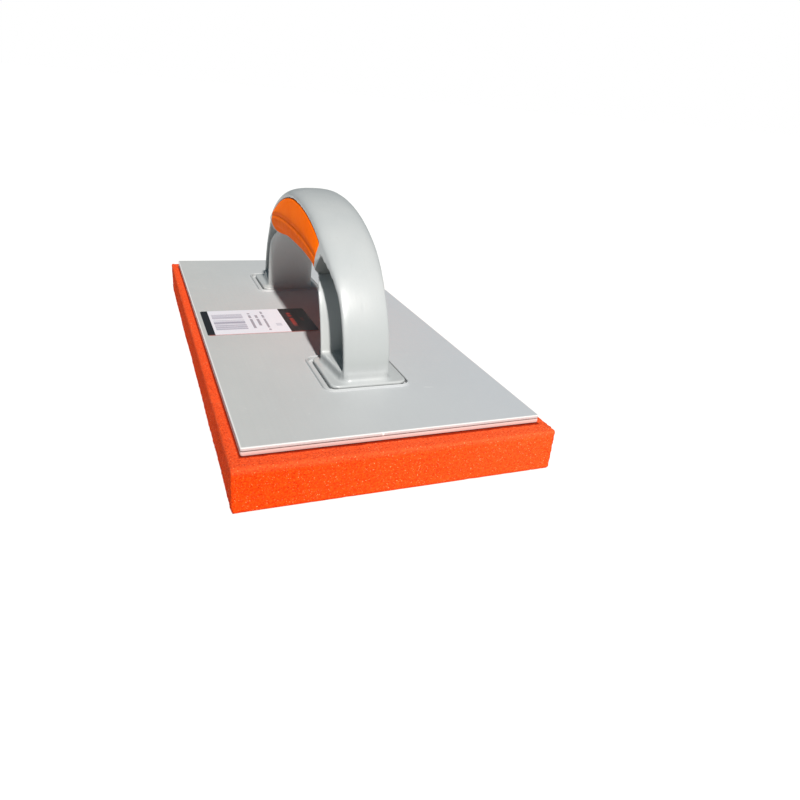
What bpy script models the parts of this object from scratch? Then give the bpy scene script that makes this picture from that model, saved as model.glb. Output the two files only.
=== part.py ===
"""Sponge-faced grout float: foam pad, two bonded plastic sheets, bridge handle with a soft grip.

Metres, +Z up. X runs across the float and Y along it. The origin is the middle of the pad's
working face, so the whole float stands on Z = 0. The handle is the same on both sides of
X = 0. Its half at +Y is a little slimmer and rounder than its half at -Y.
"""

import math

import bmesh
import bpy
from mathutils import Vector

COLLECTION_NAME = "sponge_grout_float"
CUTTER_COLLECTION_NAME = "cutters"

# Driving dimensions
SHEET_WIDTH = 0.130
SHEET_LENGTH = 0.280
PAD_OVERHANG_SIDE = 0.0045
PAD_OVERHANG_END = 0.008
PAD_THICKNESS = 0.0191
PLATE_TOP = 0.0231
SHEET_THICKNESS = 0.0016
FILM_THICKNESS = 0.0001
SHEET_CORNER_RADIUS = 0.001
FILM_INSET = 0.0015
LAYER_GAP = 0.00015
GAP = 0.0003

FOOT_CENTRE_Y = 0.0785
RIM_SIZE = 0.042
RIM_CORNER_RADIUS = 0.0055
RIM_WIDTH = 0.001
RIM_HEIGHT = 0.001
GROOVE_WIDTH = 0.0018
SEAT_DEPTH = 0.0005
FLANGE_TOP = 0.0244
PLINTH_TOP = 0.0287
PLINTH_WIDTH = 0.0292
PLINTH_LENGTH = 0.0306
PLINTH_CORNER_RADIUS = 0.004

ARCH_FOOT_Z = 0.0265
CREST_HEIGHT = 0.0696
# For the ends at -Y and at +Y
CREST_REACH = {-1: 0.0935, 1: 0.0925}
CREST_ROUNDNESS = {-1: 2.12, 1: 1.85}
HAND_SIDE = (
    (0.0635, 0.024),
    (0.0617, 0.0365),
    (0.0583, 0.0485),
    (0.0525, 0.0572),
    (0.044, 0.0618),
    (0.025, 0.0636),
    (0.0, 0.064),
)

POST_DOME_HALF_WIDTH = 0.0111
GRIP_DOME_HALF_WIDTH = 0.0135
POST_DOME_RISE = 0.0008
GRIP_DOME_RISE = 0.0055
POST_HALF_WIDTH = 0.0143
GRIP_HALF_WIDTH = 0.0154
POST_EDGE_HEIGHT = 0.003
GRIP_EDGE_HEIGHT = 0.0135
POST_SQUARENESS = 5.0
GRIP_SQUARENESS = 2.6
POST_SIDE_CURVE = 2.0
GRIP_SIDE_CURVE = 1.0
DOME_SQUARENESS = 2.5
CHANGE_START = 0.24
CHANGE_LENGTH = 0.31
INNER_WALL = 0.003
OUTER_WALL = 0.002
WEB_HALF_THICKNESS = 0.0012
EDGE_LIP = 0.0004

# Places along the arch, as parts of the way from its crown down to a foot
POCKET_BOTTOM = 0.99
POCKET_END = 0.53
SOFT_GRIP_END = 0.485
SPINE_END = 0.51
END_GAP = 0.0025

SPINE_HALF_WIDTH = 0.0055
SOFT_GRIP_THICKNESS = 0.0035

SCREW_PLACES = ((0.0, 0.072), (0.0, 0.085), (0.0, -0.072), (0.0, -0.085))
SCREW_RADIUS = 0.0019
SCREW_HEAD_RADIUS = 0.0037
SCREW_HEAD_DEPTH = 0.0015
SCREW_TIP_LENGTH = 0.0025
BOSS_RADIUS = 0.0038
BOSS_TOP = 0.038
SCREW_TOP = 0.036

LABEL_WIDTH = 0.060
LABEL_LENGTH = 0.040
LABEL_CENTRE_X = -0.0325
LABEL_THICKNESS = 0.00015
LABEL_CORNER_RADIUS = 0.001

PATH_STEPS = 240
ARCH_STEPS = 36
POCKET_STEPS = 8
ZONE_STEPS = 17
SPINE_STEPS = 18
DOME_STEPS = 6
SIDE_STEPS = 4
LOWER_STEPS = 6
ROUND_SEGMENTS = 20
CORNER_STEPS = 5

# Heights of the layers, from the plate's top face down
PLATE_BOTTOM = PLATE_TOP - SHEET_THICKNESS
SHEET_FILM_TOP = PLATE_BOTTOM - LAYER_GAP
SHEET_FILM_BOTTOM = SHEET_FILM_TOP - FILM_THICKNESS
CARRIER_TOP = SHEET_FILM_BOTTOM - LAYER_GAP
CARRIER_BOTTOM = CARRIER_TOP - SHEET_THICKNESS
PAD_FILM_BOTTOM = PAD_THICKNESS + LAYER_GAP
PAD_FILM_TOP = CARRIER_BOTTOM - LAYER_GAP
SEAT_FLOOR = PLATE_TOP - SEAT_DEPTH
FLANGE_BOTTOM = SEAT_FLOOR + GAP
FLANGE_SIZE = RIM_SIZE - 2 * (RIM_WIDTH + GROOVE_WIDTH)


# Scene, objects and materials


def clear_scene():
    for obj in list(bpy.data.objects):
        bpy.data.objects.remove(obj, do_unlink=True)


def new_collection(name):
    collection = bpy.data.collections.new(name)
    bpy.context.scene.collection.children.link(collection)
    return collection


def new_material(name, colour, roughness, metallic=0.0):
    material = bpy.data.materials.new(name)
    material.use_nodes = True
    shader = material.node_tree.nodes["Principled BSDF"]
    shader.inputs["Base Color"].default_value = (*colour, 1.0)
    shader.inputs["Roughness"].default_value = roughness
    shader.inputs["Metallic"].default_value = metallic
    material.diffuse_color = (*colour, 1.0)
    return material


def object_from_bmesh(name, shape, collection):
    bmesh.ops.recalc_face_normals(shape, faces=shape.faces)
    mesh = bpy.data.meshes.new(name)
    shape.to_mesh(mesh)
    shape.free()
    obj = bpy.data.objects.new(name, mesh)
    collection.objects.link(obj)
    return obj


def mark_cutter(obj):
    obj.hide_render = True
    obj.display_type = "WIRE"
    return obj


def combine(target, other, operation):
    """One Boolean modifier on the target."""
    modifier = target.modifiers.new(f"{operation.lower()}_{other.name}", "BOOLEAN")
    modifier.operation = operation
    modifier.solver = "EXACT"
    modifier.object = other


def finish_part(obj, material, smooth_angle=None):
    obj.data.materials.append(material)
    if smooth_angle is not None:
        obj.data.shade_smooth()
        obj.data.set_sharp_from_angle(angle=math.radians(smooth_angle))


# Flat and turned shapes


def rounded_rectangle(width, length, radius, centre=(0.0, 0.0)):
    """Corner arcs of a rectangle, anticlockwise."""
    points = []
    corners = ((1, 1), (-1, 1), (-1, -1), (1, -1))
    for quarter, (side_x, side_y) in enumerate(corners):
        middle_x = centre[0] + side_x * (width / 2 - radius)
        middle_y = centre[1] + side_y * (length / 2 - radius)
        for step in range(CORNER_STEPS + 1):
            angle = math.pi / 2 * (quarter + step / CORNER_STEPS)
            points.append(
                (middle_x + radius * math.cos(angle), middle_y + radius * math.sin(angle))
            )
    return points


def flat_piece(name, outline, bottom, top, collection):
    """A flat outline between two heights: a filled 2D curve, made a mesh with its caps welded."""
    curve = bpy.data.curves.new(name, "CURVE")
    curve.dimensions = "2D"
    curve.fill_mode = "BOTH"
    curve.extrude = (top - bottom) / 2
    spline = curve.splines.new("POLY")
    spline.points.add(len(outline) - 1)
    for point, (x, y) in zip(spline.points, outline):
        point.co = (x, y, 0.0, 1.0)
    spline.use_cyclic_u = True
    source = bpy.data.objects.new(name + "_outline", curve)
    collection.objects.link(source)
    bpy.context.view_layer.update()
    graph = bpy.context.evaluated_depsgraph_get()
    mesh = bpy.data.meshes.new_from_object(source.evaluated_get(graph))
    bpy.data.objects.remove(source, do_unlink=True)
    shape = bmesh.new()
    shape.from_mesh(mesh)
    bpy.data.meshes.remove(mesh)
    bmesh.ops.remove_doubles(shape, verts=shape.verts, dist=0.000001)
    bmesh.ops.translate(shape, verts=shape.verts, vec=(0.0, 0.0, (top + bottom) / 2))
    return object_from_bmesh(name, shape, collection)


def turned_piece(name, profile, place, collection):
    """A profile of (radius, height) points, top to bottom, turned about Z through the place."""
    mesh = bpy.data.meshes.new(name)
    mesh.from_pydata(
        [(radius, 0.0, height) for radius, height in profile],
        [(i, i + 1) for i in range(len(profile) - 1)],
        [],
    )
    obj = bpy.data.objects.new(name, mesh)
    obj.location = (*place, 0.0)
    collection.objects.link(obj)
    turn = obj.modifiers.new("turn", "SCREW")
    turn.steps = ROUND_SEGMENTS
    turn.render_steps = ROUND_SEGMENTS
    turn.use_merge_vertices = True
    turn.merge_threshold = 0.00001
    return obj


# The handle's arch: a crest path outside, a hand-side path inside, and sections between them


def crest_path(end):
    """Half of the crest as (y, z), from the foot at this end up to Y = 0: a superellipse."""
    power = 2 / CREST_ROUNDNESS[end]
    points = []
    for step in range(PATH_STEPS + 1):
        angle = math.pi / 2 * step / PATH_STEPS
        reach = CREST_REACH[end] * math.cos(angle) ** power
        height = CREST_HEIGHT * math.sin(angle) ** power
        points.append(Vector((end * reach, ARCH_FOOT_Z + height)))
    return points


def hand_side_path(end):
    """Half of the face towards the hand as (y, z): a Catmull-Rom curve through HAND_SIDE."""
    knots = [Vector((end * y, z)) for y, z in HAND_SIDE]
    before = 2 * knots[0] - knots[1]
    after = Vector((-knots[-2].x, knots[-2].y))
    knots = [before, *knots, after]
    spans = len(knots) - 3
    points = []
    for step in range(PATH_STEPS + 1):
        place = spans * step / PATH_STEPS
        span = min(int(place), spans - 1)
        t = place - span
        a, b, c, d = knots[span : span + 4]
        points.append(
            0.5
            * (2 * b + (c - a) * t + (2 * a - 5 * b + 4 * c - d) * t**2 + (3 * b - 3 * c + d - a) * t**3)
        )
    return points


def point_at(path, fraction):
    """The point at a fraction of the path's length."""
    lengths = [(b - a).length for a, b in zip(path, path[1:])]
    left = fraction * sum(lengths)
    for a, b, length in zip(path, path[1:], lengths):
        if left <= length:
            return a.lerp(b, left / length)
        left -= length
    return path[-1].copy()


CREST = {end: crest_path(end) for end in (-1, 1)}
HAND_FACE = {end: hand_side_path(end) for end in (-1, 1)}


# A place along the arch is -1 at the foot at -Y, 0 at the crown and 1 at the foot at +Y


def edges_at(along):
    """The points on the hand side and on the crest."""
    end = 1 if along > 0 else -1
    fraction = 1 - abs(along)
    return point_at(HAND_FACE[end], fraction), point_at(CREST[end], fraction)


def blend(low, high, along):
    """From low in the post to high in the grip, with a soft change between them."""
    t = min(max((1 - abs(along) - CHANGE_START) / CHANGE_LENGTH, 0.0), 1.0)
    return low + (high - low) * t * t * (3 - 2 * t)


def dome_base(along):
    """Depth at which the domed outer band starts."""
    inner, crest = edges_at(along)
    return (crest - inner).length - blend(POST_DOME_RISE, GRIP_DOME_RISE, along)


def outer_section(along):
    """Half of the handle's outline at a place, as (x, depth) from the crest to the hand side."""
    dome_half = blend(POST_DOME_HALF_WIDTH, GRIP_DOME_HALF_WIDTH, along)
    rise = blend(POST_DOME_RISE, GRIP_DOME_RISE, along)
    half_width = blend(POST_HALF_WIDTH, GRIP_HALF_WIDTH, along)
    edge = blend(POST_EDGE_HEIGHT, GRIP_EDGE_HEIGHT, along)
    squareness = blend(POST_SQUARENESS, GRIP_SQUARENESS, along)
    curve = blend(POST_SIDE_CURVE, GRIP_SIDE_CURVE, along)
    base = dome_base(along)
    points = []
    for step in range(DOME_STEPS + 1):
        angle = math.pi / 2 * (1 - step / DOME_STEPS)
        x = dome_half * math.cos(angle) ** (2 / DOME_SQUARENESS)
        points.append((x, base + rise * math.sin(angle) ** (2 / DOME_SQUARENESS)))
    for step in range(1, SIDE_STEPS + 1):
        t = 1 - step / SIDE_STEPS
        x = dome_half + (half_width - dome_half) * math.cos(math.pi / 2 * t) ** curve
        points.append((x, edge + (base - edge) * t))
    for step in range(1, LOWER_STEPS + 1):
        angle = math.pi / 2 * step / LOWER_STEPS
        x = half_width * math.cos(angle) ** (2 / squareness)
        points.append((x, edge * (1 - math.sin(angle) ** (2 / squareness))))
    return points


def whole_section(along):
    half = outer_section(along)
    return half + [(-x, depth) for x, depth in reversed(half[1:-1])]


def box_section(x_low, x_high, depth_low, depth_high):
    return [(x_low, depth_low), (x_high, depth_low), (x_high, depth_high), (x_low, depth_high)]


def placed(section_at, along):
    """The section's points in space."""
    inner, crest = edges_at(along)
    outwards = (crest - inner).normalized()
    points = []
    for x, depth in section_at(along):
        point = inner + outwards * depth
        points.append((x, point.x, point.y))
    return points


def arch(name, section_at, start, end, steps, collection):
    """A closed solid lofted through the sections between two places along the arch."""
    shape = bmesh.new()
    rows = []
    for step in range(steps + 1):
        ring = placed(section_at, start + (end - start) * step / steps)
        rows.append([shape.verts.new(point) for point in ring])
    count = len(rows[0])
    for row, following in zip(rows, rows[1:]):
        for i in range(count):
            j = (i + 1) % count
            shape.faces.new((row[i], row[j], following[j], following[i]))
    shape.faces.new(rows[0])
    shape.faces.new(rows[-1])
    bmesh.ops.triangulate(shape, faces=shape.faces)
    return object_from_bmesh(name, shape, collection)


# Sub-parts


def make_pad(collection, material):
    bpy.ops.mesh.primitive_cube_add(size=1.0)
    pad = bpy.context.object
    pad.name = pad.data.name = "sponge_pad"
    for owner in list(pad.users_collection):
        owner.objects.unlink(pad)
    collection.objects.link(pad)
    size = Vector(
        (
            SHEET_WIDTH + 2 * PAD_OVERHANG_SIDE,
            SHEET_LENGTH + 2 * PAD_OVERHANG_END,
            PAD_THICKNESS,
        )
    )
    for vertex in pad.data.vertices:
        vertex.co = [c * s for c, s in zip(vertex.co, size)]
    pad.location = (0.0, 0.0, PAD_THICKNESS / 2)
    edges = pad.modifiers.new("soft_edges", "BEVEL")
    edges.width = 0.0012
    edges.segments = 3
    finish_part(pad, material, smooth_angle=40)


def make_film(name, bottom, top, collection, material):
    outline = rounded_rectangle(
        SHEET_WIDTH - 2 * FILM_INSET, SHEET_LENGTH - 2 * FILM_INSET, SHEET_CORNER_RADIUS
    )
    film = flat_piece(name, outline, bottom, top, collection)
    finish_part(film, material)
    return film


def screw_hole(index, place, radius, bottom, top, cutters):
    profile = [(0.0, top), (radius, top), (radius, bottom), (0.0, bottom)]
    return mark_cutter(turned_piece(f"hole_{index}", profile, place, cutters))


def make_carrier(collection, cutters, material):
    outline = rounded_rectangle(SHEET_WIDTH, SHEET_LENGTH, SHEET_CORNER_RADIUS)
    carrier = flat_piece("carrier_sheet", outline, CARRIER_BOTTOM, CARRIER_TOP, collection)
    mouth = SCREW_HEAD_RADIUS + GAP
    for number, place in enumerate(SCREW_PLACES, start=1):
        bottom = CARRIER_BOTTOM - SHEET_THICKNESS
        hole = screw_hole(f"carrier_{number}", place, mouth, bottom, PLATE_BOTTOM, cutters)
        combine(carrier, hole, "DIFFERENCE")
    finish_part(carrier, material)


def make_backing_plate(collection, cutters, material):
    outline = rounded_rectangle(SHEET_WIDTH, SHEET_LENGTH, SHEET_CORNER_RADIUS)
    plate = flat_piece("backing_plate", outline, PLATE_BOTTOM, PLATE_TOP, collection)
    rim_inside = RIM_SIZE - 2 * RIM_WIDTH
    inside_radius = RIM_CORNER_RADIUS - RIM_WIDTH
    for side in (-1, 1):
        centre = (0.0, side * FOOT_CENTRE_Y)
        rim = flat_piece(
            f"rim_{side}",
            rounded_rectangle(RIM_SIZE, RIM_SIZE, RIM_CORNER_RADIUS, centre),
            PLATE_BOTTOM + SEAT_DEPTH,
            PLATE_TOP + RIM_HEIGHT,
            cutters,
        )
        seat = flat_piece(
            f"seat_{side}",
            rounded_rectangle(rim_inside, rim_inside, inside_radius, centre),
            SEAT_FLOOR,
            PLATE_TOP + 4 * RIM_HEIGHT,
            cutters,
        )
        combine(plate, mark_cutter(rim), "UNION")
        combine(plate, mark_cutter(seat), "DIFFERENCE")
    for number, place in enumerate(SCREW_PLACES, start=1):
        hole = screw_hole(
            f"plate_{number}", place, SCREW_RADIUS + GAP, CARRIER_BOTTOM, PLINTH_TOP, cutters
        )
        combine(plate, hole, "DIFFERENCE")
    finish_part(plate, material, smooth_angle=30)


def make_label(collection, material):
    outline = rounded_rectangle(
        LABEL_WIDTH, LABEL_LENGTH, LABEL_CORNER_RADIUS, (LABEL_CENTRE_X, 0.0)
    )
    bottom = PLATE_TOP + LAYER_GAP
    label = flat_piece("product_label", outline, bottom, bottom + LABEL_THICKNESS, collection)
    finish_part(label, material)


def pocket_sections(side):
    """The hollow between the two bands of a post, on one side of the web."""

    def section_at(along):
        low, high = sorted((side * WEB_HALF_THICKNESS, side * 2 * POST_HALF_WIDTH))
        return box_section(low, high, INNER_WALL, dome_base(along) - OUTER_WALL)

    return section_at


def under_dome_section(top):
    """Everything under the dome, out past the handle's sides and hand face."""

    def section_at(along):
        width = 2 * GRIP_HALF_WIDTH
        return box_section(-width, width, -INNER_WALL, dome_base(along) + top)

    return section_at


def spine_section(spare):
    """The solid rib that the soft grip is moulded around, grown by spare."""

    def section_at(along):
        half = SPINE_HALF_WIDTH + spare
        top = dome_base(along) + 2 * EDGE_LIP
        return box_section(-half, half, SOFT_GRIP_THICKNESS - spare, top)

    return section_at


def make_handle(collection, cutters, material):
    handle = arch("handle_body", whole_section, -1.0, 1.0, ARCH_STEPS, collection)
    under_dome = under_dome_section(EDGE_LIP)
    zone = arch("grip_zone", under_dome, -SOFT_GRIP_END, SOFT_GRIP_END, ZONE_STEPS, cutters)
    spine = arch("spine", spine_section(0.0), -SPINE_END, SPINE_END, SPINE_STEPS, cutters)
    combine(mark_cutter(zone), mark_cutter(spine), "DIFFERENCE")
    combine(handle, zone, "DIFFERENCE")
    for end in (-1, 1):
        for side in (-1, 1):
            pocket = arch(
                f"pocket_{end}_{side}",
                pocket_sections(side),
                end * POCKET_BOTTOM,
                end * POCKET_END,
                POCKET_STEPS,
                cutters,
            )
            combine(handle, mark_cutter(pocket), "DIFFERENCE")
        centre_y = end * FOOT_CENTRE_Y
        flange = flat_piece(
            f"flange_{end}",
            rounded_rectangle(
                FLANGE_SIZE, FLANGE_SIZE, PLINTH_CORNER_RADIUS, (0.0, centre_y)
            ),
            FLANGE_BOTTOM,
            FLANGE_TOP,
            cutters,
        )
        plinth = flat_piece(
            f"plinth_{end}",
            rounded_rectangle(
                PLINTH_WIDTH, PLINTH_LENGTH, PLINTH_CORNER_RADIUS, (0.0, centre_y)
            ),
            FLANGE_BOTTOM + GAP,
            PLINTH_TOP,
            cutters,
        )
        combine(handle, mark_cutter(flange), "UNION")
        combine(handle, mark_cutter(plinth), "UNION")
    for number, place in enumerate(SCREW_PLACES, start=1):
        profile = [
            (0.0, BOSS_TOP),
            (BOSS_RADIUS, BOSS_TOP),
            (BOSS_RADIUS, FLANGE_TOP + GAP),
            (0.0, FLANGE_TOP + GAP),
        ]
        boss = turned_piece(f"boss_{number}", profile, place, cutters)
        combine(handle, mark_cutter(boss), "UNION")
    for number, place in enumerate(SCREW_PLACES, start=1):
        hole = screw_hole(
            f"boss_{number}", place, SCREW_RADIUS + GAP, CARRIER_TOP, SCREW_TOP + GAP, cutters
        )
        combine(handle, hole, "DIFFERENCE")
    finish_part(handle, material, smooth_angle=35)


def make_soft_grip(collection, cutters, material):
    end = SOFT_GRIP_END - END_GAP
    grip = arch("soft_grip", whole_section, -1.0, 1.0, ARCH_STEPS, collection)
    room = arch("grip_room", under_dome_section(EDGE_LIP - GAP), -end, end, ZONE_STEPS, cutters)
    hollow = arch("grip_hollow", spine_section(GAP), -SPINE_END, SPINE_END, SPINE_STEPS, cutters)
    combine(grip, mark_cutter(room), "INTERSECT")
    combine(grip, mark_cutter(hollow), "DIFFERENCE")
    finish_part(grip, material, smooth_angle=35)


def make_screws(collection, material):
    head_bottom = CARRIER_BOTTOM
    neck = head_bottom + SCREW_HEAD_DEPTH
    profile = [
        (0.0, SCREW_TOP),
        (SCREW_RADIUS, SCREW_TOP - SCREW_TIP_LENGTH),
        (SCREW_RADIUS, neck),
        (SCREW_HEAD_RADIUS, head_bottom + GAP),
        (SCREW_HEAD_RADIUS, head_bottom),
        (0.0, head_bottom),
    ]
    for number, place in enumerate(SCREW_PLACES, start=1):
        screw = turned_piece(f"handle_screw_{number}", profile, place, collection)
        finish_part(screw, material, smooth_angle=35)


def main():
    clear_scene()
    parts = new_collection(COLLECTION_NAME)
    cutters = new_collection(CUTTER_COLLECTION_NAME)
    foam = new_material("orange_foam", (0.90, 0.10, 0.02), 0.95)
    glue = new_material("clear_glue", (0.55, 0.50, 0.42), 0.40)
    sheet = new_material("pale_grey_sheet", (0.58, 0.58, 0.57), 0.45)
    moulding = new_material("light_grey_moulding", (0.68, 0.70, 0.70), 0.42)
    soft = new_material("orange_soft_grip", (0.95, 0.15, 0.01), 0.55)
    paper = new_material("printed_label", (0.85, 0.84, 0.85), 0.35)
    steel = new_material("zinc_plated_steel", (0.62, 0.62, 0.60), 0.35, metallic=1.0)
    make_pad(parts, foam)
    make_film("pad_adhesive", PAD_FILM_BOTTOM, PAD_FILM_TOP, parts, glue)
    make_carrier(parts, cutters, sheet)
    sheet_film = make_film("sheet_adhesive", SHEET_FILM_BOTTOM, SHEET_FILM_TOP, parts, glue)
    for number, place in enumerate(SCREW_PLACES, start=1):
        hole = screw_hole(
            f"film_{number}", place, SCREW_HEAD_RADIUS, CARRIER_BOTTOM, PLATE_TOP, cutters
        )
        combine(sheet_film, hole, "DIFFERENCE")
    make_backing_plate(parts, cutters, sheet)
    make_label(parts, paper)
    make_handle(parts, cutters, moulding)
    make_soft_grip(parts, cutters, soft)
    make_screws(parts, steel)


main()
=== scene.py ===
"""Looks for the sponge grout float: its visible pieces, materials, floor, light and camera.

Metres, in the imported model's own frame: X across the float, Y along it, +Z up. The handle is the
same on both sides of X = 0. Its half at +Y is a little slimmer and rounder than the other.
"""

import math

import bmesh
import bpy
from mathutils import Matrix, Vector, noise


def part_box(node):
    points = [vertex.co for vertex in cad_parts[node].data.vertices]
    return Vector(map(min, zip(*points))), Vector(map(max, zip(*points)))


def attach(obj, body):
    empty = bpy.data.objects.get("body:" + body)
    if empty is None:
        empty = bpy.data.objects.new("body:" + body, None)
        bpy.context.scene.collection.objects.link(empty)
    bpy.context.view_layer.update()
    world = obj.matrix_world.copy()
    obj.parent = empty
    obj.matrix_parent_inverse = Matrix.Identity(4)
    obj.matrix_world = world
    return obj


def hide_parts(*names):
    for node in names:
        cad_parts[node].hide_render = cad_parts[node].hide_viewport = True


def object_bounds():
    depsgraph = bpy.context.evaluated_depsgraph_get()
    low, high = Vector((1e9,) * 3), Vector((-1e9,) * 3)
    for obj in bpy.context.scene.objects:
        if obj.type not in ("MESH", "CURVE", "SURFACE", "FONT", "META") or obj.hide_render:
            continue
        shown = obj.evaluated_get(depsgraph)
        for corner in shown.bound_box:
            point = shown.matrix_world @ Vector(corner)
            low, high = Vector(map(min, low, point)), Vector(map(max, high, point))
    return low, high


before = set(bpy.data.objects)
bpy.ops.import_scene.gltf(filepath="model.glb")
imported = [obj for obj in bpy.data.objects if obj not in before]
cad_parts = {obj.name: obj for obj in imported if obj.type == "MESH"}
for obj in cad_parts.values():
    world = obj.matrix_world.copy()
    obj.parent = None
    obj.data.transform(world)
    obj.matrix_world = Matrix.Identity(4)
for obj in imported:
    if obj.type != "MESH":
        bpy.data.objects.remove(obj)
CAD_LOW, CAD_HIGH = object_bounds()

PAD_LOW, PAD_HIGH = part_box("sponge_pad")
CARRIER_LOW, CARRIER_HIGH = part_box("carrier_sheet")
PLATE_LOW, PLATE_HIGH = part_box("backing_plate")
LABEL_LOW, LABEL_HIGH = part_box("product_label")
HANDLE_LOW, HANDLE_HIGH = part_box("handle_body")
SCREWS = [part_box(f"handle_screw_{number}") for number in (1, 2, 3, 4)]
MM = 0.001

# Sheets, and the rim and groove round each foot
SHEET_CORNER_RADIUS = 1.0 * MM
SHEET_EDGE_RADIUS = 0.4 * MM
RIM_SIZE = 42.0 * MM
RIM_CORNER_RADIUS = 5.5 * MM
RIM_WIDTH = 1.0 * MM
RIM_HEIGHT = 1.0 * MM
SEAT_DEPTH = 0.5 * MM
GROOVE_DEPTH = 1.15 * MM
GROOVE_UNDER_FLANGE = 0.9 * MM
PLATE_TOP = PLATE_HIGH.z - RIM_HEIGHT
HOLE_RADIUS = 2.2 * MM
HEAD_HOLE_RADIUS = 4.0 * MM
LABEL_RADIUS = 1.5 * MM

# Handle: feet. The plinth is narrower at its outer end by the taper's share.
FLANGE_SIZE = HANDLE_HIGH.x - HANDLE_LOW.x
FOOT_CENTRE_Y = HANDLE_HIGH.y - FLANGE_SIZE / 2
FLANGE_RADIUS = 4.0 * MM
FLANGE_SHIFT = 0.9 * MM
FLANGE_BOTTOM = HANDLE_LOW.z
FLANGE_TOP = FLANGE_BOTTOM + 1.5 * MM
PLINTH_WIDTH = 29.2 * MM
PLINTH_LENGTH = 30.6 * MM
PLINTH_RADIUS = 4.0 * MM
PLINTH_TOP = FLANGE_TOP + 4.3 * MM
PLINTH_TAPER = 0.22
FILLET_RADIUS = 2.7 * MM
SIDE_FILLET_SHARE = 0.3
BOSS_RADIUS = 3.8 * MM
BOSS_TOP = FLANGE_BOTTOM + 15.1 * MM

# Handle: the crest outside, for each end, and the face towards the hand, as (y, z) from the foot
ARCH_FOOT_Z = FLANGE_BOTTOM + 3.6 * MM
CREST_REACH = {-1: 93.5 * MM, 1: 92.5 * MM}
CREST_ROUNDNESS = {-1: 2.12, 1: 1.85}
CREST_HEIGHT = HANDLE_HIGH.z - 0.2 * MM - ARCH_FOOT_Z
HAND_SIDE = (
    (63.5, 24.0),
    (61.7, 36.5),
    (58.3, 48.5),
    (52.5, 57.2),
    (44.0, 61.8),
    (25.0, 63.6),
    (0.0, 64.0),
)
PATH_STEPS = 240

# Handle: sections, each pair for the post and for the grip
DOME_HALF_WIDTH = (11.1 * MM, 13.5 * MM)
DOME_RISE = (0.8 * MM, 5.5 * MM)
HALF_WIDTH = (14.3 * MM, 15.4 * MM)
EDGE_HEIGHT = (3.0 * MM, 13.5 * MM)
SQUARENESS = (5.0, 2.6)
SIDE_CURVE = (2.0, 1.0)
DOME_SQUARENESS = 2.5
DOME_STEPS = 12
CHANGE_START = 0.24
CHANGE_LENGTH = 0.31
INNER_WALL = 3.0 * MM
OUTER_WALL = 2.0 * MM
WEB_HALF_THICKNESS = 1.2 * MM
CORE_HALF_WIDTH = 5.5 * MM
GRIP_THICKNESS = 3.5 * MM
RIB_GAP = 0.2 * MM
SEAM = 0.35 * MM

# Places along the arch, as parts of the way from its crown down to a foot
POCKET_BOTTOM = 0.99
POCKET_END = 0.512
GRIP_END = 0.50
GRIP_TAPER = 0.065
GRIP_END_SQUARENESS = 1.4
SECTION_GAP = 0.0004

# How many sections there are in each stretch of the moulding, and along the soft grip
BODY_STATIONS = 44
GRIP_STATIONS = 96

# The groove along each side of the soft grip
CREASE_DEPTH = 0.7 * MM
CREASE_WIDTH = 0.9 * MM

# Fusing of the handle's solids
HANDLE_VOXEL = 0.64 * MM
GRIP_VOXEL = 0.5 * MM
SMOOTHING = 3

# Sponge: its grid, and the depths and sizes of the waves and grain on its faces
PAD_EDGE_RADIUS = 0.8 * MM
PAD_FINE_STEP = 1.0 * MM
PAD_COARSE_STEP = 2.5 * MM
PAD_FINE_MARGIN = 10.0 * MM
PAD_WAVE = 0.35 * MM
PAD_WAVE_SIZE = 45 * MM
PAD_GRAIN = 0.28 * MM
PAD_GRAIN_SIZE = 1.7 * MM
PAD_FINE_GRAIN_SIZE = 0.9 * MM
PAD_FINE_GRAIN_SHARE = 0.6
PAD_BONDED_DEPTH = 0.15 * MM
PAD_DEEPEST = 0.8 * PAD_EDGE_RADIUS

# Camera: where it stands, which way it looks, and its lens
CAMERA_PLACE = Vector((-0.0956, -0.35026, 0.14535))
CAMERA_FORWARD = Vector((0.36561, 0.82733, -0.42644))
CAMERA_RIGHT = Vector((0.92678, -0.36594, 0.08463))
CAMERA_LENS = 28.99

# Light: the sun's direction of travel, and a cool sky that the camera doesn't see
SUN_TRAVEL = Vector((0.055, 0.88, -1.0))
SUN_STRENGTH = 5.0
SUN_ANGLE = 3.0
SUN_COLOUR = (1.0, 0.968, 0.93)
SKY_STRENGTH = 0.115
SKY_COLOUR = (0.45, 0.80, 1.0, 1.0)
BACKDROP_COLOUR = (1.0, 1.0, 1.0, 1.0)
FLOOR_SIZE = 20.0
FLOOR_GAP = 0.2 * MM


# Node helpers


def add(tree, kind, inputs=None, **settings):
    """One node. A socket among the inputs is linked, and anything else is set."""
    node = tree.nodes.new(kind)
    for name, value in settings.items():
        setattr(node, name, value)
    for name, value in (inputs or {}).items():
        if isinstance(value, bpy.types.NodeSocket):
            tree.links.new(value, node.inputs[name])
        else:
            node.inputs[name].default_value = value
    return node


def new_material(name, **values):
    """(material, tree, shader, object coordinates) with the constant values on the shader."""
    material = bpy.data.materials.new(name)
    material.use_nodes = True
    tree = material.node_tree
    shader = tree.nodes["Principled BSDF"]
    for socket, value in values.items():
        shader.inputs[socket.replace("_", " ")].default_value = value
    place = add(tree, "ShaderNodeTexCoord").outputs["Object"]
    return material, tree, shader, place


def noise_value(tree, place, size, detail=3.0, roughness=0.55):
    """Noise with features about this size, in metres."""
    inputs = {"Vector": place, "Scale": 1 / size, "Detail": detail, "Roughness": roughness}
    return add(tree, "ShaderNodeTexNoise", inputs).outputs["Fac"]


def stretched(tree, place, scale):
    """The place scaled along each axis, so that a noise gets longer where the scale is small."""
    return add(
        tree, "ShaderNodeVectorMath", {0: place, 1: scale}, operation="MULTIPLY"
    ).outputs[0]


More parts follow.
